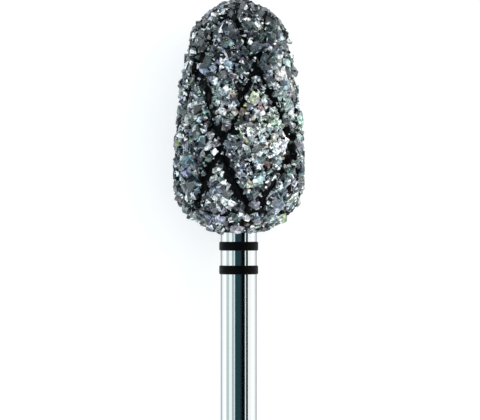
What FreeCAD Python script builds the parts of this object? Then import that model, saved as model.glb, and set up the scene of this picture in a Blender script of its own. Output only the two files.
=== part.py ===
import FreeCAD
import Part

# A grit-coated laboratory bur for a straight handpiece, lying at rest on its side.
# A turned steel blank carries a bonded layer of coarse diamond grit on its bud-shaped head.
# Two sets of helical channels cross in the grit, and two black bands on the shank give the grade.
# Lengths are in millimetres and angles in degrees.

import math
import os
import random

# Shank
overall_length = 44.5
shank_diameter = 2.35
shank_end_chamfer = 0.25

# Head, measured over the tips of the grains
head_length = 15.2
head_diameter = 8.7
tip_radius = 3.2
base_corner_radius = 3.65
base_face_width = 0.35
side_radius = 44

# Straight cuts that rough out each arc of the blank's head
cuts_per_arc = 2

# Grit layer: its thickness, the film of bond at the foot of a channel, and the height of the grains
coating_thickness = 0.55
bond_film = 0.08
grain_relief = 0.32

# Channels, whose lengths run along the surface of the head
channel_count = 5
channel_width = 0.66
channel_floor_width = 0.36
channel_tip_margin = 2.9
channel_base_margin = 2.3
channel_runout = 0.6
crossing_distance = 11.5
crossing_spacing = 5.15
crossing_angle = -17.0

# Lines of grain sites from one channel to the next, in threes, with a tall grain on every third,
# and the distance between the sites at the ends of the head, where there are no channels
lines_per_channel = 18
end_spacing = 0.36

# Heights of the grains, as shares of the grain relief, and how far each one strays from its site
tall_grain = (0.6, 1.0)
medium_grain = (0.35, 0.85)
low_grain = (0.0, 0.3)
share_of_tall = 1 / 3
share_of_medium = 0.25
site_stray = 0.25
grit_seed = 132

# Grade bands, each laid in a shallow groove, with sloping edges and a slightly crowned top
band_width = 0.58
band_height = 0.1
band_crown = 0.012
band_edge_width = 0.06
band_groove_depth = 0.05
band_gap = 0.97
first_band_distance = 0.6

# Fineness of the search for the turn at which the tool comes to rest
rolling_step = 0.1

# Derived sizes
shank_radius = shank_diameter / 2
shank_length = overall_length - head_length
head_radius = head_diameter / 2
upper_band_top = shank_length - first_band_distance
lower_band_top = upper_band_top - band_width - band_gap
turn = 2 * math.pi


class HeadProfile:
    """Half outline of the head: a tip arc, a slightly swelling side and a base arc, all tangent.

    Distances run along the outline from the tip. An inset moves the outline inwards by that much.
    """

    def __init__(self, inset=0.0):
        self.tip_z = overall_length - tip_radius
        self.base_z = shank_length + base_corner_radius
        self.base_r = head_radius - base_corner_radius
        self.tip_arc = tip_radius - inset
        self.base_arc = base_corner_radius - inset
        self.side_arc = side_radius - inset
        # The side's centre is as far from the other two as the difference of the radii
        to_tip = side_radius - tip_radius
        to_base = side_radius - base_corner_radius
        rise = self.tip_z - self.base_z
        centres = math.hypot(self.base_r, rise)
        along = (to_tip**2 - to_base**2 + centres**2) / (2 * centres)
        across = math.sqrt(to_tip**2 - along**2)
        self.side_r = (along * self.base_r - across * rise) / centres
        self.side_z = self.tip_z - (along * rise + across * self.base_r) / centres
        self.side_top = math.atan2(self.tip_z - self.side_z, -self.side_r)
        self.side_bottom = math.atan2(self.base_z - self.side_z, self.base_r - self.side_r)
        self.side_start = (math.pi / 2 - self.side_top) * self.tip_arc
        self.side_end = self.side_start + (self.side_top - self.side_bottom) * self.side_arc

    def at(self, distance):
        """Radius and height of the outline there, and its outward normal."""
        if distance < self.side_start:
            centre_r, centre_z, arc = 0.0, self.tip_z, self.tip_arc
            angle = math.pi / 2 - distance / arc
        elif distance < self.side_end:
            centre_r, centre_z, arc = self.side_r, self.side_z, self.side_arc
            angle = self.side_top - (distance - self.side_start) / arc
        else:
            centre_r, centre_z, arc = self.base_r, self.base_z, self.base_arc
            angle = self.side_bottom - (distance - self.side_end) / arc
        normal_r, normal_z = math.cos(angle), math.sin(angle)
        return centre_r + arc * normal_r, centre_z + arc * normal_z, normal_r, normal_z

    def distance_at_base_radius(self, radius):
        """Distance to where the base arc has come in to that radius."""
        angle = math.acos((radius - self.base_r) / self.base_arc)
        return self.side_end + (self.side_bottom + angle) * self.base_arc


outline = HeadProfile()
grain_row = crossing_spacing / lines_per_channel
base_face_distance = outline.distance_at_base_radius(shank_radius + base_face_width)


def round_about_axis(radius, angle, z):
    """A point of the tool at that radius and turn. Zero turn faces -Y."""
    return FreeCAD.Vector(radius * math.sin(angle), -radius * math.cos(angle), z)


def turn_solid(section):
    """A solid turned about the tool's axis from the corners of its half section."""
    corners = [FreeCAD.Vector(r, 0, z) for r, z in section]
    face = Part.Face(Part.makePolygon(corners + corners[:1]))
    return face.revolve(FreeCAD.Vector(0, 0, 0), FreeCAD.Vector(0, 0, 1), 360)


def make_band(top):
    """One grade band: a ring of black enamel, whose foot fills its groove in the shank."""
    foot = top - band_width
    middle = (top + foot) / 2
    crest = shank_radius + band_height
    return turn_solid([
        (shank_radius, foot),
        (crest - band_crown, foot + band_edge_width),
        (crest, middle),
        (crest - band_crown, top - band_edge_width),
        (shank_radius, top),
        (shank_radius - band_groove_depth, middle),
    ])


def make_blank(bands):
    """The steel blank, turned in one piece: a chamfered shank, a groove for each band and the head.

    The head is roughed out with straight cuts, whose corners lie on the inside of the grit layer.
    """
    core = HeadProfile(inset=coating_thickness)

    def cuts(start, end):
        return [start + (end - start) * k / cuts_per_arc for k in range(cuts_per_arc + 1)]

    neck = core.distance_at_base_radius(shank_radius)
    distances = cuts(neck, core.side_end)[:-1] + cuts(core.side_end, core.side_start)
    distances += cuts(core.side_start, 0)[1:]
    section = [(0, 0), (shank_radius - shank_end_chamfer, 0), (shank_radius, shank_end_chamfer)]
    section += [core.at(distance)[:2] for distance in distances]
    return turn_solid(section).cut(bands)


def line_place(line, floor_half, land_half, pitch):
    """Turn of one line of grain sites from the middle of the first channel.

    Lines 0 and 1 of each pitch edge the channel's floor, and the next ones share out the land.
    """
    pitches, place = divmod(line, lines_per_channel)
    if place == 0:
        within = -floor_half
    elif place == 1:
        within = floor_half
    else:
        share = (place - 2) / (lines_per_channel - 3)
        within = land_half + share * (pitch - 2 * land_half)
    return pitches * pitch + within


def is_floor(line):
    return line % lines_per_channel < 2


def grain_height(chance, is_tall):
    """Share of the relief that one site of the grit reaches."""
    if is_tall:
        return chance.uniform(*tall_grain)
    if chance.random() < share_of_medium:
        return chance.uniform(*medium_grain)
    return chance.uniform(*low_grain)


def surface_site(distance, angle, depth):
    """A point that deep under the tips of the grains."""
    r, z, normal_r, normal_z = outline.at(distance)
    return round_about_axis(r - depth * normal_r, angle, z - depth * normal_z)


def channelled_rings(chance):
    """Rings of sites over the stretch of the head that the channels cover.

    Each ring is turned by half a step from the last, so the lines that join its sites are helices
    of both hands, and the channels follow them.
    """
    pitch = turn / channel_count
    sites = channel_count * lines_per_channel
    step = turn / sites
    channel_end = base_face_distance - channel_base_margin
    first = math.ceil((channel_tip_margin - crossing_distance) / grain_row)
    last = math.floor((channel_end - crossing_distance) / grain_row)
    helix = math.atan2(head_radius * step / 2, grain_row)
    floor_depth = coating_thickness - bond_film
    rings = []
    for k in range(first, last + 1):
        distance = crossing_distance + k * grain_row
        radius = outline.at(distance)[0]
        floor_half = channel_floor_width / 2 / (radius * math.cos(helix))
        land_half = channel_width / 2 / (radius * math.cos(helix))
        openness = min(1.0, min(k - first, last - k) * grain_row / channel_runout)
        ring = []
        for i in range(sites):
            one_hand = line_place(i + k, floor_half, land_half, pitch)
            other_hand = line_place(i, floor_half, land_half, pitch)
            angle = (one_hand + other_hand) / 2 + math.radians(crossing_angle)
            along = distance + (one_hand - other_hand - k * step) / step * grain_row
            cut = openness if is_floor(i + k) or is_floor(i) else 0.0
            land_depth = grain_relief * (1 - grain_height(chance, (2 * i + k) % 3 == 0))
            depth = land_depth + cut * (floor_depth - land_depth)
            stray = site_stray * (1 - cut)
            angle += chance.uniform(-stray, stray) * step
            along += chance.uniform(-stray, stray) * grain_row
            ring.append((angle, surface_site(along, angle, depth)))
        rings.append(ring)
    return rings


def plain_rings(chance, start, end):
    """Rings of sites over a stretch of the head with no channels, fewer as the head narrows."""
    count = round(abs(end - start) / end_spacing)
    rings = []
    for k in range(1, count + 1):
        distance = start + (end - start) * k / count
        sites = math.ceil(turn * outline.at(distance)[0] / end_spacing)
        is_edge = k == count
        stray = 0.0 if is_edge else site_stray
        ring = []
        for i in range(sites):
            angle = turn * (i + chance.uniform(-stray, stray)) / sites
            along = distance + chance.uniform(-stray, stray) * end_spacing
            height = 1.0 if is_edge else grain_height(chance, chance.random() < share_of_tall)
            ring.append((angle, surface_site(along, angle, grain_relief * (1 - height))))
        rings.append(ring)
    return rings


def stitch(lower, upper, lower_first, upper_first):
    """Triangles between two rings of sites, by walking round both at once."""
    def from_zero_turn(ring):
        start = min(range(len(ring)), key=lambda i: ring[i][0] % turn)
        order = [(start + i) % len(ring) for i in range(len(ring))]
        angles = [ring[i][0] % turn for i in order]
        return order + order[:1], angles + [angles[0] + turn]

    low_order, low_angle = from_zero_turn(lower)
    up_order, up_angle = from_zero_turn(upper)
    triangles = []
    i = j = 0
    while i < len(lower) or j < len(upper):
        walk_low = j == len(upper) or (i < len(lower) and low_angle[i + 1] <= up_angle[j + 1])
        low = lower_first + low_order[i]
        up = upper_first + up_order[j]
        if walk_low:
            i += 1
            triangles.append((low, lower_first + low_order[i], up))
        else:
            j += 1
            triangles.append((low, upper_first + up_order[j], up))
    return triangles


def flat_cap(ring):
    """The flat face inside the outermost ring at one end of the grit."""
    corners = [site for _, site in ring]
    return Part.Face(Part.makePolygon(corners + corners[:1]))


def make_coating(blank):
    """The bonded grit: a faceted skin over the head, less the blank inside it."""
    chance = random.Random(grit_seed)
    channelled = channelled_rings(chance)
    to_tip = plain_rings(chance, channel_tip_margin, end_spacing)
    to_base = plain_rings(chance, base_face_distance - channel_base_margin, base_face_distance)
    rings = to_tip[::-1] + channelled + to_base
    sites = [site for ring in rings for _, site in ring]
    triangles = []
    first = 0
    for ring, next_ring in zip(rings, rings[1:]):
        triangles += stitch(ring, next_ring, first, first + len(ring))
        first += len(ring)
    skin = Part.Shape()
    skin.makeShapeFromMesh((sites, triangles), Part.Precision.approximation())
    skin = Part.Compound([skin, flat_cap(rings[0]), flat_cap(rings[-1])])
    skin.sewShape()
    body = Part.makeSolid(skin.Shells[0])
    if body.Volume < 0:
        body.reverse()
    return body.cut(blank).Solids[0]


def lean_at(roll, grains):
    """Angle of the tool's axis to the floor when it lies there, rolled that far."""
    down_x, down_y = math.sin(roll), math.cos(roll)
    return max(
        math.atan2(grain.x * down_x + grain.y * down_y - shank_radius, grain.z - shank_end_chamfer)
        for grain in grains
    )


def resting_place(coating):
    """Lays the tool on its side and rolls it down until it lies still.

    The rim of the shank's chamfer and the lowest grains touch the floor. The middle of the axis
    is above the origin.
    """
    grains = [vertex.Point for vertex in coating.Vertexes if vertex.Y > shank_radius]
    roll = 0.0
    lean = lean_at(roll, grains)
    for step in (math.radians(rolling_step), -math.radians(rolling_step)):
        while lean_at(roll + step, grains) < lean:
            roll += step
            lean = lean_at(roll, grains)
    rolled = FreeCAD.Rotation(FreeCAD.Vector(0, 0, 1), math.degrees(roll))
    laid = FreeCAD.Rotation(FreeCAD.Vector(1, 0, 0), math.degrees(lean) - 90)
    rim = laid.multVec(FreeCAD.Vector(0, shank_radius, shank_end_chamfer))
    middle = laid.multVec(FreeCAD.Vector(0, 0, overall_length / 2))
    return FreeCAD.Placement(FreeCAD.Vector(0, -middle.y, -rim.z), laid.multiply(rolled))


def main():
    upper_band = make_band(upper_band_top)
    lower_band = make_band(lower_band_top)
    blank = make_blank([upper_band, lower_band])
    coating = make_coating(blank)
    place = resting_place(coating)
    parts = {
        "steel_blank": blank,
        "diamond_grit_coating": coating,
        "upper_grade_band": upper_band,
        "lower_grade_band": lower_band,
    }
    os.makedirs("parts", exist_ok=True)
    for name, shape in parts.items():
        shape.Placement = place.multiply(shape.Placement)
        shape.exportStep(f"parts/{name}.step")


main()
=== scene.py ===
# A grit-coated laboratory bur for a straight handpiece, lying on its side on a pale table.
# Every piece is made upright about the tool's own axis, with the shank's end at z = 0 and the side
# that faces up at -Y, and is then laid down into its place on the table.
import math
import random

import bpy
import numpy as np
from mathutils import Matrix, Vector, noise


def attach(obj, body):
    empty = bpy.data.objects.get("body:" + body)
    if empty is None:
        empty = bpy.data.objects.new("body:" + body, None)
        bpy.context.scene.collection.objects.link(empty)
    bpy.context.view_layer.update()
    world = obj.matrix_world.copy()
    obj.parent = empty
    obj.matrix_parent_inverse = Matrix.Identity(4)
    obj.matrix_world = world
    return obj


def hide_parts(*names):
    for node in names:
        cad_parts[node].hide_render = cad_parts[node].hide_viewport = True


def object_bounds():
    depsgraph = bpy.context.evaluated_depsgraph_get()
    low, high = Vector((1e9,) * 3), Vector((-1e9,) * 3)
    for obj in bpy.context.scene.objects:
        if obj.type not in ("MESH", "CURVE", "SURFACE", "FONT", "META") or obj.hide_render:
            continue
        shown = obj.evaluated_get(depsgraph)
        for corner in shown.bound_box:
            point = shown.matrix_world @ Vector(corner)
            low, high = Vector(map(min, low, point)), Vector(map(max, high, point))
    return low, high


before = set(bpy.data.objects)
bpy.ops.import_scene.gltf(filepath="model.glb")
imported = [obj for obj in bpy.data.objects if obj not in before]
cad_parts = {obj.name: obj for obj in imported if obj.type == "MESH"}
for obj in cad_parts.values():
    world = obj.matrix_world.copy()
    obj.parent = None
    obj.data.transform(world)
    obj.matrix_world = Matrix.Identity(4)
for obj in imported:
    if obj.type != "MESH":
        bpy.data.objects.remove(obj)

cad_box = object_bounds()

# Steel blank
# One bar of stainless steel, turned and polished: the shank with its chamfered end, a shallow
# groove for each grade band, and the head core that is hidden under the grit.
MM = 0.001
facets_round = 128
shank_radius = 1.175 * MM
shank_end_chamfer = 0.25 * MM
chamfer_rounding = 0.03 * MM
neck_z = 29.887 * MM
# Radius and height in mm of each corner of the head core, from the neck up
head_core = [
    (3.088, 30.973),
    (3.798, 33.055),
    (3.31, 37.55),
    (2.574, 41.93),
    (1.636, 43.385),
    (0.4, 43.9),
]
band_middles = [28.41 * MM, 26.86 * MM]
band_width = 0.58 * MM
band_groove_depth = 0.05 * MM

tool_lean = math.radians(5.3798)
shank_end = Vector((0, -22.152, 1.14639)) * MM
laid_down = Matrix.Translation(shank_end) @ Matrix.Rotation(tool_lean - math.pi / 2, 4, "X")


def lay_down(piece):
    """Puts a finished piece in its place on the table, with the place in its mesh."""
    bpy.ops.object.select_all(action="DESELECT")
    piece.select_set(True)
    bpy.context.view_layer.objects.active = piece
    piece.matrix_world = laid_down
    bpy.ops.object.transform_apply(location=True, rotation=True, scale=True)


def pick(kind, wanted):
    """Selects the vertices, edges or faces of the piece in hand that are wanted."""
    bpy.ops.mesh.select_mode(type=kind)
    bpy.ops.mesh.select_all(action="DESELECT")
    bpy.ops.object.mode_set(mode="OBJECT")
    mesh = bpy.context.object.data
    for item in {"VERT": mesh.vertices, "EDGE": mesh.edges, "FACE": mesh.polygons}[kind]:
        item.select = wanted(item)
    bpy.ops.object.mode_set(mode="EDIT")


def edge_heights(edge):
    """Heights of an edge's two ends."""
    vertices = bpy.context.object.data.vertices
    return [vertices[number].co.z for number in edge.vertices]


def is_level(edge):
    """Whether both ends of an edge lie at one height."""
    return max(edge_heights(edge)) - min(edge_heights(edge)) < 1e-6


bpy.ops.object.select_all(action="DESELECT")
bpy.ops.mesh.primitive_cylinder_add(
    vertices=facets_round, radius=shank_radius, depth=neck_z, location=(0, 0, neck_z / 2)
)
blank = bpy.context.object
blank.name = "polished_blank"
bpy.ops.object.transform_apply(location=True)
bpy.ops.object.mode_set(mode="EDIT")
pick("FACE", lambda face: face.normal.z > 0.9)
radius, z = shank_radius, neck_z
for next_radius, next_z in head_core:
    bpy.ops.mesh.extrude_region_move(
        TRANSFORM_OT_translate={"value": (0, 0, next_z * MM - z)}
    )
    share = next_radius * MM / radius
    radius, z = next_radius * MM, next_z * MM
    bpy.ops.transform.resize(value=(share, share, 1), center_override=(0, 0, z))
for middle in band_middles:
    for height in (middle - band_width / 2, middle, middle + band_width / 2):
        pick("FACE", lambda face: abs(face.normal.z) < 0.1 and face.center.z < neck_z)
        bpy.ops.mesh.bisect(plane_co=(0, 0, height), plane_no=(0, 0, 1), threshold=1e-8)
    pick("VERT", lambda vertex: abs(vertex.co.z - middle) < 1e-6)
    share = 1 - band_groove_depth / shank_radius
    bpy.ops.transform.resize(value=(share, share, 1), center_override=(0, 0, middle))
pick("EDGE", lambda edge: max(edge_heights(edge)) < 1e-6)
bpy.ops.mesh.bevel(offset=shank_end_chamfer, segments=1)
pick("EDGE", lambda edge: max(edge_heights(edge)) < shank_end_chamfer + 1e-6 and is_level(edge))
bpy.ops.mesh.bevel(offset=chamfer_rounding, segments=2)
bpy.ops.object.mode_set(mode="OBJECT")
bpy.ops.object.shade_smooth_by_angle(angle=math.radians(20))
lay_down(blank)
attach(blank, "root")
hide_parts("steel_blank")

# Polished steel: fine marks of the polishing wheel run round the shank
steel = bpy.data.materials.new("polished_steel")
steel.use_nodes = True
nodes, links = steel.node_tree.nodes, steel.node_tree.links
steel_shader = nodes["Principled BSDF"]
steel_shader.inputs["Metallic"].default_value = 1.0
steel_shader.inputs["Specular Tint"].default_value = (0.2, 0.21, 0.22, 1)
steel_place = nodes.new("ShaderNodeTexCoord")
steel_turn = nodes.new("ShaderNodeMapping")
steel_turn.vector_type = "TEXTURE"
steel_turn.inputs["Location"].default_value = shank_end
steel_turn.inputs["Rotation"].default_value = (tool_lean - math.pi / 2, 0, 0)
steel_stretch = nodes.new("ShaderNodeMapping")
steel_stretch.inputs["Scale"].default_value = (1, 1, 30)
steel_marks = nodes.new("ShaderNodeTexNoise")
steel_marks.inputs["Scale"].default_value = 700
steel_marks.inputs["Detail"].default_value = 5
steel_rough = nodes.new("ShaderNodeMapRange")
steel_rough.inputs["To Min"].default_value = 0.03
steel_rough.inputs["To Max"].default_value = 0.09
steel_tint = nodes.new("ShaderNodeMix")
steel_tint.data_type = "RGBA"
steel_tint.inputs["A"].default_value = (0.86, 0.89, 0.89, 1)
steel_tint.inputs["B"].default_value = (0.93, 0.95, 0.95, 1)
steel_bump = nodes.new("ShaderNodeBump")
steel_bump.inputs["Strength"].default_value = 0.04
steel_bump.inputs["Distance"].default_value = 0.01 * MM
links.new(steel_place.outputs["Object"], steel_turn.inputs["Vector"])
links.new(steel_turn.outputs["Vector"], steel_stretch.inputs["Vector"])
links.new(steel_stretch.outputs["Vector"], steel_marks.inputs["Vector"])
links.new(steel_marks.outputs["Fac"], steel_rough.inputs["Value"])
links.new(steel_rough.outputs["Result"], steel_shader.inputs["Roughness"])
links.new(steel_marks.outputs["Fac"], steel_tint.inputs["Factor"])
links.new(steel_tint.outputs["Result"], steel_shader.inputs["Base Color"])
links.new(steel_marks.outputs["Fac"], steel_bump.inputs["Height"])
links.new(steel_bump.outputs["Normal"], steel_shader.inputs["Normal"])
blank.data.materials.append(steel)

# Grade bands
# Two rings of black enamel, brushed on while the shank turns and baked. Each fills its groove and
# stands a little proud, with edges that the enamel's own pull has rounded.
band_outer_radius = shank_radius + 0.1 * MM
band_edge = 0.09 * MM

enamel = bpy.data.materials.new("black_enamel")
enamel.use_nodes = True
nodes, links = enamel.node_tree.nodes, enamel.node_tree.links
enamel_shader = nodes["Principled BSDF"]
enamel_shader.inputs["Specular IOR Level"].default_value = 0.07
enamel_place = nodes.new("ShaderNodeTexCoord")
enamel_flow = nodes.new("ShaderNodeTexNoise")
enamel_flow.inputs["Scale"].default_value = 4000
enamel_flow.inputs["Detail"].default_value = 4
enamel_colour = nodes.new("ShaderNodeMix")
enamel_colour.data_type = "RGBA"
enamel_colour.inputs["A"].default_value = (0.0008, 0.0008, 0.001, 1)
enamel_colour.inputs["B"].default_value = (0.0025, 0.0025, 0.003, 1)
enamel_rough = nodes.new("ShaderNodeMapRange")
enamel_rough.inputs["To Min"].default_value = 0.35
enamel_rough.inputs["To Max"].default_value = 0.6
enamel_bump = nodes.new("ShaderNodeBump")
enamel_bump.inputs["Strength"].default_value = 0.3
enamel_bump.inputs["Distance"].default_value = 0.01 * MM
links.new(enamel_place.outputs["Object"], enamel_flow.inputs["Vector"])
links.new(enamel_flow.outputs["Fac"], enamel_colour.inputs["Factor"])
links.new(enamel_colour.outputs["Result"], enamel_shader.inputs["Base Color"])
links.new(enamel_flow.outputs["Fac"], enamel_rough.inputs["Value"])
links.new(enamel_rough.outputs["Result"], enamel_shader.inputs["Roughness"])
links.new(enamel_flow.outputs["Fac"], enamel_bump.inputs["Height"])
links.new(enamel_bump.outputs["Normal"], enamel_shader.inputs["Normal"])


def edge_radii(edge):
    """Distances of an edge's two ends from the tool's axis."""
    vertices = bpy.context.object.data.vertices
    return [vertices[number].co.xy.length for number in edge.vertices]


def make_band(name, node, middle):
    """One grade band, made from a disc whose middle is bored out."""
    bpy.ops.object.select_all(action="DESELECT")
    bpy.ops.mesh.primitive_cylinder_add(
        vertices=facets_round, radius=band_outer_radius, depth=band_width, location=(0, 0, middle)
    )
    band = bpy.context.object
    band.name = name
    bpy.ops.object.transform_apply(location=True)
    bpy.ops.object.mode_set(mode="EDIT")
    pick("FACE", lambda face: abs(face.normal.z) > 0.9)
    bpy.ops.mesh.inset(thickness=band_outer_radius - shank_radius)
    bpy.ops.mesh.delete(type="FACE")
    pick("EDGE", lambda edge: max(edge_radii(edge)) < shank_radius * 1.01)
    bpy.ops.mesh.bridge_edge_loops()
    pick("EDGE", lambda edge: min(edge_radii(edge)) > band_outer_radius * 0.99 and is_level(edge))
    bpy.ops.mesh.bevel(offset=band_edge, segments=4)
    bpy.ops.mesh.select_all(action="SELECT")
    bpy.ops.mesh.normals_make_consistent(inside=False)
    bpy.ops.object.mode_set(mode="OBJECT")
    bpy.ops.object.shade_smooth_by_angle(angle=math.radians(40))
    lay_down(band)
    band.data.materials.append(enamel)
    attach(band, "root")
    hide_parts(node)


make_band("upper_enamel_band", "upper_grade_band", band_middles[0])
make_band("lower_enamel_band", "lower_grade_band", band_middles[1])

# Nickel bond
# Dark electroplated nickel that holds the grains. It is bare on the floors of the helical channels
# and shows as black gaps between the grains.
bond = bpy.data.materials.new("dark_nickel_bond")
bond.use_nodes = True
nodes, links = bond.node_tree.nodes, bond.node_tree.links
bond_shader = nodes["Principled BSDF"]
bond_shader.inputs["Metallic"].default_value = 0.35
bond_shader.inputs["Specular IOR Level"].default_value = 0.15
bond_place = nodes.new("ShaderNodeTexCoord")
bond_nodules = nodes.new("ShaderNodeTexVoronoi")
bond_nodules.inputs["Scale"].default_value = 11000
bond_colour = nodes.new("ShaderNodeMix")
bond_colour.data_type = "RGBA"
bond_colour.inputs["A"].default_value = (0.002, 0.002, 0.0025, 1)
bond_colour.inputs["B"].default_value = (0.008, 0.008, 0.009, 1)
bond_rough = nodes.new("ShaderNodeMapRange")
bond_rough.inputs["To Min"].default_value = 0.45
bond_rough.inputs["To Max"].default_value = 0.75
bond_bump = nodes.new("ShaderNodeBump")
bond_bump.inputs["Strength"].default_value = 0.8
bond_bump.inputs["Distance"].default_value = 0.03 * MM
links.new(bond_place.outputs["Object"], bond_nodules.inputs["Vector"])
links.new(bond_nodules.outputs["Distance"], bond_colour.inputs["Factor"])
links.new(bond_colour.outputs["Result"], bond_shader.inputs["Base Color"])
links.new(bond_nodules.outputs["Distance"], bond_rough.inputs["Value"])
links.new(bond_rough.outputs["Result"], bond_shader.inputs["Roughness"])
links.new(bond_nodules.outputs["Distance"], bond_bump.inputs["Height"])
links.new(bond_bump.outputs["Normal"], bond_shader.inputs["Normal"])
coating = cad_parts["diamond_grit_coating"]
for material_slot in coating.material_slots:
    material_slot.material = bond

# The bond creeps out a little way along the shank, in a dark fillet under the head
collar_bottom, collar_top = 29.29 * MM, 29.42 * MM
collar_bottom_radius, collar_top_radius = 1.2 * MM, 1.5 * MM
bpy.ops.object.select_all(action="DESELECT")
bpy.ops.mesh.primitive_cone_add(
    vertices=96,
    radius1=collar_bottom_radius,
    radius2=collar_top_radius,
    depth=collar_top - collar_bottom,
    location=(0, 0, (collar_bottom + collar_top) / 2),
)
collar = bpy.context.object
collar.name = "bond_collar"
bpy.ops.object.transform_apply(location=True)
bpy.ops.object.mode_set(mode="EDIT")
pick("FACE", lambda face: abs(face.normal.z) > 0.9)
bpy.ops.mesh.inset(thickness=0.04 * MM)
pick("EDGE", lambda edge: max(edge_heights(edge)) < collar_bottom + 1e-7)
bpy.ops.mesh.bevel(offset=0.02 * MM, segments=2)
bpy.ops.object.mode_set(mode="OBJECT")
bpy.ops.object.shade_smooth_by_angle(angle=math.radians(30))
lay_down(collar)
collar.data.materials.append(bond)
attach(collar, "root")

# Diamond grains
# Blocky crystals of coarse synthetic diamond, each broken along flat planes, sieved and held by the
# bond. They crowd the lands between the channels, and only a few stray ones lie in the channels.
# All lengths of the grains are in mm, and a turn runs from the side that faces up towards +X.
chance = random.Random(11)
draw = np.random.default_rng(16)

# The head's outline is three arcs: the tip's, the swelling side's and the base corner's
tip_z, tip_radius = 41.3, 3.2
side_z, side_r, side_radius = 31.58696, -39.62697, 44.0
base_z, base_r, base_corner_radius = 32.95, 0.7, 3.65
side_top_angle, side_bottom_angle = math.radians(13.772345), math.radians(1.935843)
side_start = (math.pi / 2 - side_top_angle) * tip_radius
side_end = side_start + (side_top_angle - side_bottom_angle) * side_radius


def surface_place(points):
    """Distance along the head's outline from the tip, turn, depth and outward normal of points."""
    radius = np.hypot(points[:, 0], points[:, 1])
    turn = np.arctan2(points[:, 0], -points[:, 1])
    side_angle = np.arctan2(points[:, 2] - side_z, radius - side_r)
    at_tip = side_angle > side_top_angle
    at_base = side_angle < side_bottom_angle
    centre_r = np.select([at_tip, at_base], [0, base_r], side_r)
    centre_z = np.select([at_tip, at_base], [tip_z, base_z], side_z)
    arc = np.select([at_tip, at_base], [tip_radius, base_corner_radius], side_radius)
    first_angle = np.select([at_tip, at_base], [math.pi / 2, side_bottom_angle], side_top_angle)
    first_distance = np.select([at_tip, at_base], [0, side_end], side_start)
    out_r, out_z = radius - centre_r, points[:, 2] - centre_z
    reach = np.hypot(out_r, out_z)
    distance = first_distance + (first_angle - np.arctan2(out_z, out_r)) * arc
    out_r, out_z = out_r / reach, out_z / reach
    normal = np.stack([out_r * np.sin(turn), -out_r * np.cos(turn), out_z], axis=1)
    return distance, turn, arc - reach, normal


def on_head(turn_degrees, height):
    """The point of the head's outline at that turn and height."""
    if height > side_z + side_radius * math.sin(side_top_angle):
        radius = math.sqrt(tip_radius**2 - (height - tip_z) ** 2)
    elif height < side_z + side_radius * math.sin(side_bottom_angle):
        radius = base_r + math.sqrt(base_corner_radius**2 - (height - base_z) ** 2)
    else:
        radius = side_r + math.sqrt(side_radius**2 - (height - side_z) ** 2)
    turn = math.radians(turn_degrees)
    return radius * math.sin(turn), -radius * math.cos(turn), height


def nearness(points, turn_degrees, height, reach):
    """How near points are to a place on the head: 1 there, and fading to 0 past the reach."""
    apart = np.linalg.norm(points - on_head(turn_degrees, height), axis=1)
    return np.exp(-((apart / reach) ** 2))


def nearness_round(points, turn_degrees, height, reach):
    """The same for a place that is measured round the head and along it."""
    turn = np.arctan2(points[:, 0], -points[:, 1])
    across = (turn - math.radians(turn_degrees) + math.pi) % (2 * math.pi) - math.pi
    apart = np.hypot(across * np.hypot(points[:, 0], points[:, 1]), points[:, 2] - height)
    return np.exp(-((apart / reach) ** 2))


# The channels: five helices of each hand, a pitch apart, which cross at even distances from the tip
channel_pitch = math.radians(72)
channel_turn = math.radians(-16.4)
crossing_distance, crossing_spacing = 11.5, 5.15
channels_start, channels_end = 2.7, 16.1
helix_rate = channel_pitch / 2 / crossing_spacing
helix_cosine = 0.8835
no_channel = 9.0
# Distance from the tip, and half the width of the bare floor there
channel_half_widths = [(3, 0.11), (12, 0.18)]
# Where a channel strays from its helix: hand, turn in degrees, height, reach and shift across
channel_bends = [
    (-1, -30, 38.1, 1.6, 0.38),
    (-1, -6, 32.4, 1.5, -0.45),
    (-1, 45, 37.3, 2.0, 0.33),
    (1, 12, 39.8, 1.2, -0.2),
    (1, 25, 32.3, 1.3, -0.38),
]
# Where the channels are wider than elsewhere: turn in degrees, height, reach and gain
channel_openings = [
    (-28, 32.5, 1.2, 0.75),
    (-38, 38.8, 1.3, 0.3),
    (-2, 38.6, 1.2, 0.3),
    (24, 32.4, 1.1, 0.6),
    (55, 35.0, 1.3, 0.3),
]


def channel_clearance(points):
    """Distance across the surface from points to the middle of the nearest channel."""
    distance, turn, _, _ = surface_place(points)
    radius = np.hypot(points[:, 0], points[:, 1])
    slant = (distance - crossing_distance) * helix_rate
    nearest = np.full(len(points), no_channel)
    for hand in (1, -1):
        line = (turn - channel_turn + hand * slant) / channel_pitch
        off = (line - np.round(line)) * channel_pitch * radius
        for bend_hand, bend_turn, height, reach, shift in channel_bends:
            if bend_hand == hand:
                off -= shift * nearness_round(points, bend_turn, height, reach)
        nearest = np.minimum(nearest, np.abs(off) * helix_cosine)
    in_reach = (distance > channels_start) & (distance < channels_end)
    return np.where(in_reach, nearest, no_channel)


def openness(points):
    """Gain of the channels' width at points."""
    gain = np.ones(len(points))
    for opening_turn, height, reach, more in channel_openings:
        gain += more * nearness(points, opening_turn, height, reach)
    return gain


# The crystals that all grains are copies of, in mm before they are scaled
crystal_count = 10
crystal_block = 1.5
crystal_breaks = 8
break_distances = (0.54, 0.78)


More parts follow.
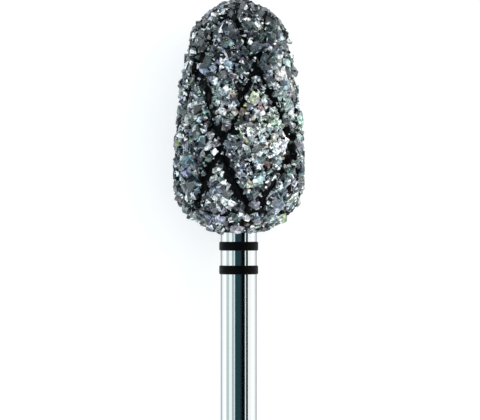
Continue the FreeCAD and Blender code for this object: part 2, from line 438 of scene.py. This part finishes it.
def break_crystal():
    """Corners and faces of a crystal: a block with pieces broken off along flat planes."""
    bpy.ops.object.select_all(action="DESELECT")
    bpy.ops.mesh.primitive_cube_add(size=crystal_block)
    bpy.ops.object.mode_set(mode="EDIT")
    for _ in range(crystal_breaks):
        way = Vector([chance.gauss(0, 1) for _ in range(3)]).normalized()
        bpy.ops.mesh.select_all(action="SELECT")
        bpy.ops.mesh.bisect(
            plane_co=way * chance.uniform(*break_distances),
            plane_no=way,
            use_fill=True,
            clear_outer=True,
            threshold=1e-5,
        )
    bpy.ops.mesh.select_all(action="SELECT")
    bpy.ops.mesh.normals_make_consistent(inside=False)
    bpy.ops.object.mode_set(mode="OBJECT")
    mesh = bpy.context.object.data
    corners = np.array([vertex.co for vertex in mesh.vertices])
    faces = [list(polygon.vertices) for polygon in mesh.polygons]
    bpy.ops.object.delete()
    return corners, faces


crystals = [break_crystal() for _ in range(crystal_count)]


def random_rotations(count):
    """Rotation matrices spread evenly over all directions."""
    q = draw.normal(size=(count, 4))
    q /= np.linalg.norm(q, axis=1)[:, None]
    w, x, y, z = q.T
    return np.stack([
        1 - 2 * (y * y + z * z), 2 * (x * y - z * w), 2 * (x * z + y * w),
        2 * (x * y + z * w), 1 - 2 * (x * x + z * z), 2 * (y * z - x * w),
        2 * (x * z - y * w), 2 * (y * z + x * w), 1 - 2 * (x * x + y * y),
    ], axis=1).reshape(count, 3, 3)


# Diamond: each facet, and each corner of it, is painted a random tone as reflection inside the
# crystal, inclusions cloud it, and cells of painted reflection flash in it
diamond = bpy.data.materials.new("diamond_grain")
diamond.use_nodes = True
nodes, links = diamond.node_tree.nodes, diamond.node_tree.links
diamond_shader = nodes["Principled BSDF"]
diamond_shader.inputs["IOR"].default_value = 1.9
diamond_tone = nodes.new("ShaderNodeAttribute")
diamond_tone.attribute_name = "grain_tone"
diamond_place = nodes.new("ShaderNodeTexCoord")
diamond_cloud = nodes.new("ShaderNodeTexNoise")
diamond_cloud.inputs["Scale"].default_value = 9000
diamond_cloud.inputs["Detail"].default_value = 3
diamond_shade = nodes.new("ShaderNodeMapRange")
diamond_shade.inputs["From Min"].default_value = 0.3
diamond_shade.inputs["From Max"].default_value = 0.7
diamond_shade.inputs["To Min"].default_value = 0.55
diamond_shade.inputs["To Max"].default_value = 1.3
diamond_colour = nodes.new("ShaderNodeVectorMath")
diamond_colour.operation = "SCALE"
# Painted reflection inside the crystal: cells that lighten or darken the colour
diamond_reflection_cells = nodes.new("ShaderNodeTexVoronoi")
diamond_reflection_cells.inputs["Scale"].default_value = 6500
diamond_reflection_parts = nodes.new("ShaderNodeSeparateColor")
diamond_painted_flash = nodes.new("ShaderNodeMapRange")
diamond_painted_flash.inputs["To Min"].default_value = 0.25
diamond_painted_flash.inputs["To Max"].default_value = 1.8
diamond_lit = nodes.new("ShaderNodeVectorMath")
diamond_lit.operation = "SCALE"
diamond_rough = nodes.new("ShaderNodeMapRange")
diamond_rough.inputs["To Min"].default_value = 0.08
diamond_rough.inputs["To Max"].default_value = 0.4
diamond_bump = nodes.new("ShaderNodeBump")
diamond_bump.inputs["Strength"].default_value = 0.5
diamond_bump.inputs["Distance"].default_value = 0.02 * MM
links.new(diamond_place.outputs["Object"], diamond_cloud.inputs["Vector"])
links.new(diamond_cloud.outputs["Fac"], diamond_shade.inputs["Value"])
links.new(diamond_tone.outputs["Color"], diamond_colour.inputs[0])
links.new(diamond_shade.outputs["Result"], diamond_colour.inputs["Scale"])
links.new(diamond_place.outputs["Object"], diamond_reflection_cells.inputs["Vector"])
links.new(diamond_reflection_cells.outputs["Color"], diamond_reflection_parts.inputs["Color"])
links.new(diamond_reflection_parts.outputs["Red"], diamond_painted_flash.inputs["Value"])
links.new(diamond_colour.outputs["Vector"], diamond_lit.inputs[0])
links.new(diamond_painted_flash.outputs["Result"], diamond_lit.inputs["Scale"])
links.new(diamond_lit.outputs["Vector"], diamond_shader.inputs["Base Color"])
links.new(diamond_cloud.outputs["Fac"], diamond_rough.inputs["Value"])
links.new(diamond_rough.outputs["Result"], diamond_shader.inputs["Roughness"])
links.new(diamond_cloud.outputs["Fac"], diamond_bump.inputs["Height"])
links.new(diamond_bump.outputs["Normal"], diamond_shader.inputs["Normal"])

# Shares and colours of the grains
grain_colours = [
    (0.40, (0.104, 0.147, 0.172)),
    (0.21, (0.104, 0.158, 0.148)),
    (0.14, (0.152, 0.155, 0.212)),
    (0.12, (0.035, 0.042, 0.048)),
    (0.09, (0.460, 0.490, 0.490)),
    (0.03, (0.360, 0.350, 0.290)),
    (0.006, (0.150, 0.180, 0.060)),
    (0.006, (0.120, 0.085, 0.072)),
]
# A share of facets is painted near white, as painted highlights, in this colour
painted_highlight_share = 0.13
painted_highlight_colour = (0.88, 0.92, 0.92)
darkest, lightest = 0.003, 0.92
# Painted shade: gains of a grain's tone by its distance from a channel, its height, and the depth
# of its tip. Grains are darker on the shoulders of the channels, towards the tool's tip, and deep
# in the coat
painted_shade_by_clearance = [(0, 0.2, 0.45, 0.8, 1.1, 1.4), (1.3, 0.66, 0.6, 0.84, 1.06, 0.86)]
painted_shade_by_height = [(39.5, 43), (0.98, 0.6)]
painted_shade_by_depth = [(0.1, 0.3), (1, 0.62)]
tone_drift, tone_drift_spacing = 0.7, 0.9
hue_drift, hue_drift_spacing = (0.15, -0.08, 0.22), 1.1

# Places where the grains are painted lighter or darker: turn in degrees, height, reach and gain.
# The broad light ones on the right are painted light, the dark ones near the tip and the cool one
# on the left are painted shade, and the rest raise or lower the grains' colour
light_shade_and_tone_patches = [
    (30, 36.2, 2.1, (4.4, 3.8, 3.35)),
    (-10, 40.6, 1.7, (0.7, 0.67, 0.78)),
    (75, 36.0, 3.0, (2.1, 2.2, 2.15)),
    (48, 39.6, 0.9, (2.5, 2.4, 2.4)),
    (-17, 38.0, 0.8, (1.8, 1.7, 1.5)),
    (-17, 32.6, 1.0, (1.7, 1.6, 1.7)),
    (9, 30.1, 0.8, (1.6, 1.6, 1.6)),
    (70, 32.0, 1.5, (1.2, 1.3, 1.3)),
    (-5, 43.2, 1.2, (0.45, 0.45, 0.6)),
    (45, 42.5, 1.2, (0.55, 0.7, 0.7)),
    (-65, 33.0, 1.8, (0.75, 0.9, 1.15)),
    (3, 36.7, 0.9, (0.5, 0.55, 0.5)),
]

# A few grains stand out: turn in degrees, height, size, how far each stands out, and colour. The
# last ten, pale grey, are painted highlights, and the others are grains of odd colour
odd_grains_and_highlights = [
    (-68, 35.1, 0.66, 0.26, (0.150, 0.220, 0.040)),
    (62, 30.3, 0.66, 0.30, (0.180, 0.270, 0.050)),
    (17, 37.9, 0.72, 0.26, (0.460, 0.500, 0.340)),
    (4, 37.1, 0.50, 0.10, (0.160, 0.110, 0.090)),
    (26.6, 33.7, 0.45, 0.12, (0.300, 0.190, 0.160)),
    (13, 29.8, 0.45, 0.08, (0.100, 0.065, 0.060)),
    (4.7, 40.4, 0.40, 0.08, (0.120, 0.060, 0.130)),
    (-32, 36.7, 0.30, 0.08, (0.085, 0.022, 0.035)),
    (9.5, 30.2, 0.50, 0.12, (0.750, 0.780, 0.780)),
    (-4, 29.5, 0.74, 0.34, (0.660, 0.620, 0.700)),
    (33, 35.4, 0.60, 0.10, (0.650, 0.640, 0.560)),
    (-28, 34.9, 0.56, 0.14, (0.640, 0.630, 0.660)),
    (-27, 35.5, 0.45, 0.12, (0.540, 0.530, 0.560)),
    (-33, 34.4, 0.50, 0.12, (0.500, 0.500, 0.520)),
    (26, 37.8, 0.55, 0.12, (0.640, 0.680, 0.680)),
    (33, 37.2, 0.50, 0.10, (0.600, 0.640, 0.620)),
    (44, 35.7, 0.50, 0.10, (0.620, 0.640, 0.620)),
    (-15.5, 37.1, 0.45, 0.12, (0.620, 0.630, 0.640)),
    (-46, 40.1, 0.40, 0.10, (0.560, 0.520, 0.600)),
    (46, 39.3, 0.50, 0.12, (0.660, 0.670, 0.670)),
]
odd_middles = np.array([on_head(grain[0], grain[1]) for grain in odd_grains_and_highlights])
odd_unevenness = 0.3
# Other grains this near to an odd one are sunk by so much, so that it shows
odd_room, odd_sink = 0.4, 0.2


def drift(middles, spacing, start=0):
    """Values between -1 and 1 that change smoothly from place to place."""
    shift = Vector((start, 0, 0))
    return np.array([noise.noise(Vector(middle) / spacing + shift) for middle in middles])


def mix_grain_colours(middles, tips):
    """Each grain's colour, and how much its facets differ, by its kind, with painted light and
    shade by where it lies.
    """
    shares = np.array([share for share, _ in grain_colours])
    colours = np.array([colour for _, colour in grain_colours])
    kinds = draw.choice(len(grain_colours), size=len(middles), p=shares / shares.sum())
    tones_and_painted_shade = np.exp(draw.normal(-0.15, 0.62, size=len(middles)))
    tints_and_painted_light = np.ones((len(middles), 3))
    # Painted light on the lit right, and painted shade near the tip and on the left, from the
    # listed places
    for patch_turn, height, reach, gain in light_shade_and_tone_patches:
        near = nearness_round(middles, patch_turn, height, reach)
        tints_and_painted_light *= 1 + near[:, None] * (np.array(gain) - 1)
    tints_and_painted_light *= 1 + drift(middles, hue_drift_spacing, start=7)[:, None] * np.array(hue_drift)
    # Painted shade: darker on the channels' shoulders, towards the tip and deep in the coat
    tones_and_painted_shade *= np.interp(channel_clearance(middles), *painted_shade_by_clearance)
    tones_and_painted_shade *= np.interp(middles[:, 2], *painted_shade_by_height)
    tones_and_painted_shade *= np.interp(tips, *painted_shade_by_depth)
    tones_and_painted_shade *= np.exp(tone_drift * drift(middles, tone_drift_spacing))
    unevenness = 0.85 * np.clip(1.15 - 0.15 * tints_and_painted_light[:, 1], 0.5, 1)
    return colours[kinds] * tones_and_painted_shade[:, None] * tints_and_painted_light, unevenness


def set_grains(name, middles, sizes, tips, colours=None):
    """One piece of many grains, each a turned and stretched copy of one of the crystals.

    Each grain is pushed in or out until its tip is as deep under the head's outline as it should
    be. Odd grains bring their own colours.
    """
    count = len(middles)
    if colours is None:
        from_odd = np.linalg.norm(middles[:, None] - odd_middles[None], axis=2).min(axis=1)
        tips = tips + odd_sink * (from_odd < odd_room)
    turns = random_rotations(count)
    stretches = draw.uniform(0.72, 1.15, size=(count, 3))
    mixed, unevenness = mix_grain_colours(middles, tips)
    if colours is None:
        colours = mixed
    else:
        colours = np.array(colours)
        unevenness = np.full(count, odd_unevenness)
    _, _, depths, out = surface_place(middles)
    lowest, highest = [np.array(corner) / MM for corner in cad_box]
    laid_turn = np.array(laid_down.to_3x3())
    laid_place = np.array(laid_down.translation) / MM
    vertices, faces, paints = [], [], []
    first = 0
    for number in range(count):
        corners, sides = crystals[number % crystal_count]
        grain = (corners * stretches[number] * sizes[number] / crystal_block) @ turns[number].T
        sink = tips[number] + (grain @ out[number]).max() - depths[number]
        grain += middles[number] - out[number] * sink
        grain = grain @ laid_turn.T + laid_place
        # No grain sticks out of the tool's box, as on the table
        beyond = np.clip(grain.max(axis=0) - highest, 0, None)
        beyond += np.clip(grain.min(axis=0) - lowest, None, 0)
        vertices.append(grain - beyond)
        # Painted highlights: some facets are painted near white, whatever the grain's own colour
        painted_highlight_facets = draw.random(len(sides)) < painted_highlight_share
        # Painted reflection inside the crystal: a random tone on each facet and on each corner of
        # it
        facet_reflection_tones = np.exp(draw.normal(-0.2, unevenness[number], size=len(sides)))
        for side, facet_tone, painted_highlight_facet in zip(sides, facet_reflection_tones, painted_highlight_facets):
            faces.append([first + corner for corner in side])
            corner_reflection_tones = np.exp(draw.normal(0, 0.5, size=(len(side), 1)))
            colour = painted_highlight_colour if painted_highlight_facet else colours[number] * facet_tone
            paints.append(np.clip(colour * corner_reflection_tones, darkest, lightest))
        first += len(corners)
    mesh = bpy.data.meshes.new(name)
    mesh.from_pydata(np.concatenate(vertices) * MM, [], faces)
    tone = mesh.color_attributes.new("grain_tone", "FLOAT_COLOR", "CORNER")
    paints = np.concatenate(paints)
    paints = np.concatenate([paints, np.ones((len(paints), 1))], axis=1)
    tone.data.foreach_set("color", paints.astype(np.float32).ravel())
    piece = bpy.data.objects.new(name, mesh)
    bpy.context.collection.objects.link(piece)
    piece.data.materials.append(diamond)
    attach(piece, "root")


# The grains are seated on the corners of the bond's faceted surface. Their depth tells the coat's
# inner side and its tall corners, and their distance from a channel tells its lands and floors
inner_side = 0.5
tall_depth = 0.14
land_edge, land_edge_gain = 0.15, 0.14
floor_edge = 0.2
upright = laid_down.inverted()
sites = np.array([upright @ vertex.co for vertex in coating.data.vertices]) / MM
sites = np.unique(np.round(sites, 4), axis=0)
depth = surface_place(sites)[2]
outer = depth < inner_side
sites, depth = sites[outer], depth[outer]
clearance = channel_clearance(sites)
on_land = clearance > land_edge + land_edge_gain * openness(sites)
tall = on_land & (depth < tall_depth)
low = on_land & ~tall
in_channel = clearance < floor_edge

# How ragged the channels' edges are, and the least that a grain is cut down to there
raggedness = (0.1, 1.3)
least_size, least_room = 0.1, 0.14
# The coat's surface heaves a little, and proud grains stand out of it away from the channels
heave, heave_spacing = 0.24, 0.45
proud_tips, proud_clearance = (-0.22, -0.08), 0.5
# The coat is thicker on the tool's right: where, and by how much
thick_right, thick_height, thick_reach, thick_rise = 3.8, 41.2, 2.1, 0.42
thick_clearance = (0.3, 0.7)


def fit_to_channels(middles, sizes):
    """Sizes of grains that leave the channels open, with a ragged edge."""
    along = surface_place(middles)[0]
    places, half_widths = zip(*channel_half_widths)
    edge = np.interp(along, places, half_widths) * draw.uniform(*raggedness, size=len(middles))
    room = 2 * (channel_clearance(middles) - edge * openness(middles))
    return np.clip(sizes, least_size, np.maximum(room, least_room))


def scatter(chosen, size, cover, stray, proud_share):
    """Middles, sizes and depths of tips of one grain at each chosen site.

    Size and cover give the least and the most, and the cover is how far a grain hides the bond's
    own peak. A share of the grains stands proud of the rest.
    """
    count = chosen.sum()
    middles = sites[chosen] + draw.normal(0, stray, size=(count, 3))
    sizes = fit_to_channels(middles, draw.uniform(*size, size=count))
    tips = depth[chosen] - draw.uniform(*cover, size=count)
    proud = (draw.random(count) < proud_share) & (clearance[chosen] > proud_clearance)
    tips = np.where(proud, draw.uniform(*proud_tips, size=count), tips)
    tips -= heave * np.maximum(drift(middles, heave_spacing), 0)
    to_right = np.clip(middles[:, 0] / thick_right, 0, 1) ** 2
    from_channel = np.interp(clearance[chosen], thick_clearance, (0, 1))
    at_height = np.exp(-(((middles[:, 2] - thick_height) / thick_reach) ** 2))
    return middles, sizes, tips - thick_rise * to_right * from_channel * at_height


set_grains("large_grains", *scatter(tall, (0.46, 0.76), (0.0, 0.1), 0.03, 0.08))
set_grains("medium_grains", *scatter(low, (0.34, 0.56), (0.02, 0.14), 0.05, 0))

# Small chips fill the gaps, most of all round one place: turn in degrees, height and reach
chip_count = 2400
crowded_place, crowd_gain = (30, 36.2, 2), 2
crowd = np.where(on_land, 1 + crowd_gain * nearness(sites, *crowded_place), 0)
chips = sites[draw.choice(len(sites), size=chip_count, p=crowd / crowd.sum())]
chips = chips + draw.normal(0, 0.12, size=(chip_count, 3))
chip_sizes = fit_to_channels(chips, draw.uniform(0.18, 0.36, size=chip_count))

# A few stray chips lie in the channels, and more in the heaps: turn in degrees, height and reach
stray_count, heap_count = 220, 60
heaps = [(20, 42.6, 0.7), (52, 42.0, 0.9)]
beds = np.flatnonzero(in_channel)
heaped = sum(nearness(sites[beds], *heap) for heap in heaps) + 0.01
beds = np.concatenate([
    draw.choice(beds, size=stray_count),
    draw.choice(beds, size=heap_count, p=heaped / heaped.sum()),
])
strays = sites[beds] + draw.normal(0, 0.1, size=(len(beds), 3))
stray_sizes = np.concatenate([
    draw.uniform(0.1, 0.27, size=stray_count),
    draw.uniform(0.16, 0.38, size=heap_count),
])
stray_tips = depth[beds] - stray_sizes * draw.uniform(0.2, 0.7, size=len(beds))
set_grains(
    "small_chips",
    np.concatenate([chips, strays]),
    np.concatenate([chip_sizes, stray_sizes]),
    np.concatenate([draw.uniform(0.0, 0.16, size=chip_count), np.maximum(stray_tips, 0.06)]),
)

set_grains(
    "odd_grains_and_highlights",
    odd_middles,
    np.array([grain[2] for grain in odd_grains_and_highlights]),
    np.array([-grain[3] for grain in odd_grains_and_highlights]),
    [grain[4] for grain in odd_grains_and_highlights],
)

# The tip, the base and the rim over the shank have few corners of their own
tip_count, cap_count, base_count, rim_step = 14, 60, 150, 9
cap_heights, base_heights, rim_heights = (43.45, 44.4), (29.7, 30.8), (29.34, 29.46)


def between(heights, turn_degrees=None):
    """A place on the head between two heights, at that turn or at any."""
    if turn_degrees is None:
        turn_degrees = draw.uniform(-180, 180)
    return on_head(turn_degrees, draw.uniform(*heights))


tip_chips = draw.normal(0, 0.16, size=(tip_count, 3)) + np.array([0, 0, tip_z + tip_radius])
tip_cap = [between(cap_heights) for _ in range(cap_count)]
base_cap = [between(base_heights) for _ in range(base_count)]
rim = [between(rim_heights, rim_turn) for rim_turn in range(0, 360, rim_step)]
end_middles = np.concatenate([tip_chips, tip_cap, base_cap, rim])
set_grains(
    "end_grains",
    end_middles,
    draw.uniform(0.3, 0.56, size=len(end_middles)),
    draw.uniform(-0.04, 0.1, size=len(end_middles)),
)

# Table, light and camera
# A pale table under soft studio light. The camera looks down square to the tool's axis, as far off
# as a macro lens stands.
bpy.ops.object.select_all(action="DESELECT")
bpy.ops.mesh.primitive_plane_add(size=4)
table = bpy.context.object
table.name = "table"
table_paint = bpy.data.materials.new("pale_table")
table_paint.use_nodes = True
table_shader = table_paint.node_tree.nodes["Principled BSDF"]
table_shader.inputs["Base Color"].default_value = (0.52, 0.52, 0.52, 1)
table_shader.inputs["Roughness"].default_value = 1.0
table_shader.inputs["Specular IOR Level"].default_value = 0.0
table_shader.inputs["Emission Color"].default_value = (1, 1, 1, 1)
table_shader.inputs["Emission Strength"].default_value = 0.6
table.data.materials.append(table_paint)

# Softboxes and dark cards round the tool, by their angle about its axis from straight up
room_cards = [
    (-180, (0.06, 0.07, 0.07)),
    (-137, (1.0, 1.0, 1.0)),
    (-87, (0.52, 0.64, 0.65)),
    (-66, (0.95, 1.0, 1.0)),
    (-44, (0.38, 0.45, 0.46)),
    (-32, (0.72, 0.84, 0.86)),
    (-24, (0.017, 0.048, 0.06)),
    (10, (0.012, 0.02, 0.025)),
    (19, (0.0, 0.001, 0.002)),
    (40.3, (0.76, 0.88, 0.90)),
    (46.8, (0.01, 0.016, 0.016)),
    (60.5, (0.97, 1.0, 1.0)),
    (137, (0.06, 0.07, 0.07)),
]
room = bpy.data.worlds.new("studio")
bpy.context.scene.world = room
room.use_nodes = True
nodes, links = room.node_tree.nodes, room.node_tree.links
sky = nodes["Background"]
sky_way = nodes.new("ShaderNodeTexCoord")
sky_turn = nodes.new("ShaderNodeMapping")
sky_turn.vector_type = "TEXTURE"
sky_turn.inputs["Rotation"].default_value = (tool_lean - math.pi / 2, 0, 0)
sky_parts = nodes.new("ShaderNodeSeparateXYZ")
sky_back = nodes.new("ShaderNodeMath")
sky_back.operation = "MULTIPLY"
sky_back.inputs[1].default_value = -1
sky_angle = nodes.new("ShaderNodeMath")
sky_angle.operation = "ARCTAN2"
sky_share = nodes.new("ShaderNodeMapRange")
sky_share.inputs["From Min"].default_value = -math.pi
sky_share.inputs["From Max"].default_value = math.pi
sky_cards = nodes.new("ShaderNodeValToRGB")
sky_cards.color_ramp.interpolation = "CONSTANT"
for position, (angle, colour) in enumerate(room_cards):
    share = (angle + 180) / 360
    if position < 2:
        stop = sky_cards.color_ramp.elements[position]
        stop.position = share
    else:
        stop = sky_cards.color_ramp.elements.new(share)
    stop.color = (*colour, 1)
links.new(sky_way.outputs["Generated"], sky_turn.inputs["Vector"])
links.new(sky_turn.outputs["Vector"], sky_parts.inputs["Vector"])
links.new(sky_parts.outputs["Y"], sky_back.inputs[0])
links.new(sky_parts.outputs["X"], sky_angle.inputs[0])
links.new(sky_back.outputs["Value"], sky_angle.inputs[1])
links.new(sky_angle.outputs["Value"], sky_share.inputs["Value"])
links.new(sky_share.outputs["Result"], sky_cards.inputs["Fac"])

# All but the gloss comes from a soft sky, cooler on the left, and the camera sees the room white
sky_soft = nodes.new("ShaderNodeMix")
sky_soft.data_type = "RGBA"
sky_soft.inputs["A"].default_value = (0.62, 0.77, 0.86, 1)
sky_soft.inputs["B"].default_value = (1.25, 1.25, 1.22, 1)
sky_side = nodes.new("ShaderNodeMapRange")
sky_side.inputs["From Min"].default_value = -0.8
sky_side.inputs["From Max"].default_value = 0.9
sky_plain = nodes.new("ShaderNodeMix")
sky_plain.data_type = "RGBA"
sky_plain.inputs["B"].default_value = (1, 1, 1, 1)
sky_ray = nodes.new("ShaderNodeLightPath")
sky_mix = nodes.new("ShaderNodeMix")
sky_mix.data_type = "RGBA"
links.new(sky_parts.outputs["X"], sky_side.inputs["Value"])
links.new(sky_side.outputs["Result"], sky_soft.inputs["Factor"])
links.new(sky_soft.outputs["Result"], sky_plain.inputs["A"])
links.new(sky_ray.outputs["Is Camera Ray"], sky_plain.inputs["Factor"])
links.new(sky_plain.outputs["Result"], sky_mix.inputs["A"])
links.new(sky_cards.outputs["Color"], sky_mix.inputs["B"])
links.new(sky_ray.outputs["Is Glossy Ray"], sky_mix.inputs["Factor"])
links.new(sky_mix.outputs["Result"], sky.inputs["Color"])

softbox_light = bpy.data.lights.new("softbox", "AREA")
softbox_light.size = 0.12
softbox_light.energy = 0.10
softbox = bpy.data.objects.new("softbox", softbox_light)
softbox.location = (0.16, 0.06, 0.2)
softbox_way = Vector((0, 0.008, 0.004)) - softbox.location
softbox.rotation_euler = softbox_way.to_track_quat("-Z", "Y").to_euler()
softbox.visible_glossy = False
bpy.context.collection.objects.link(softbox)

# The photo's width at the tool, and the place of its middle across and along the tool's axis
photo_width = 31.33 * MM
photo_middle_x, photo_middle_z = 0.085 * MM, 30.765 * MM
camera_data = bpy.data.cameras.new("camera")
camera_data.lens = 300
camera_data.sensor_width = 36
camera_data.clip_start, camera_data.clip_end = 0.01, 10
camera = bpy.data.objects.new("camera", camera_data)
camera_distance = photo_width * camera_data.lens / camera_data.sensor_width
camera_place = Vector((photo_middle_x, -camera_distance, photo_middle_z))
camera.matrix_world = (
    laid_down @ Matrix.Translation(camera_place) @ Matrix.Rotation(math.pi / 2, 4, "X")
)
bpy.context.collection.objects.link(camera)
bpy.context.scene.camera = camera
bpy.context.scene.view_settings.view_transform = "Standard"
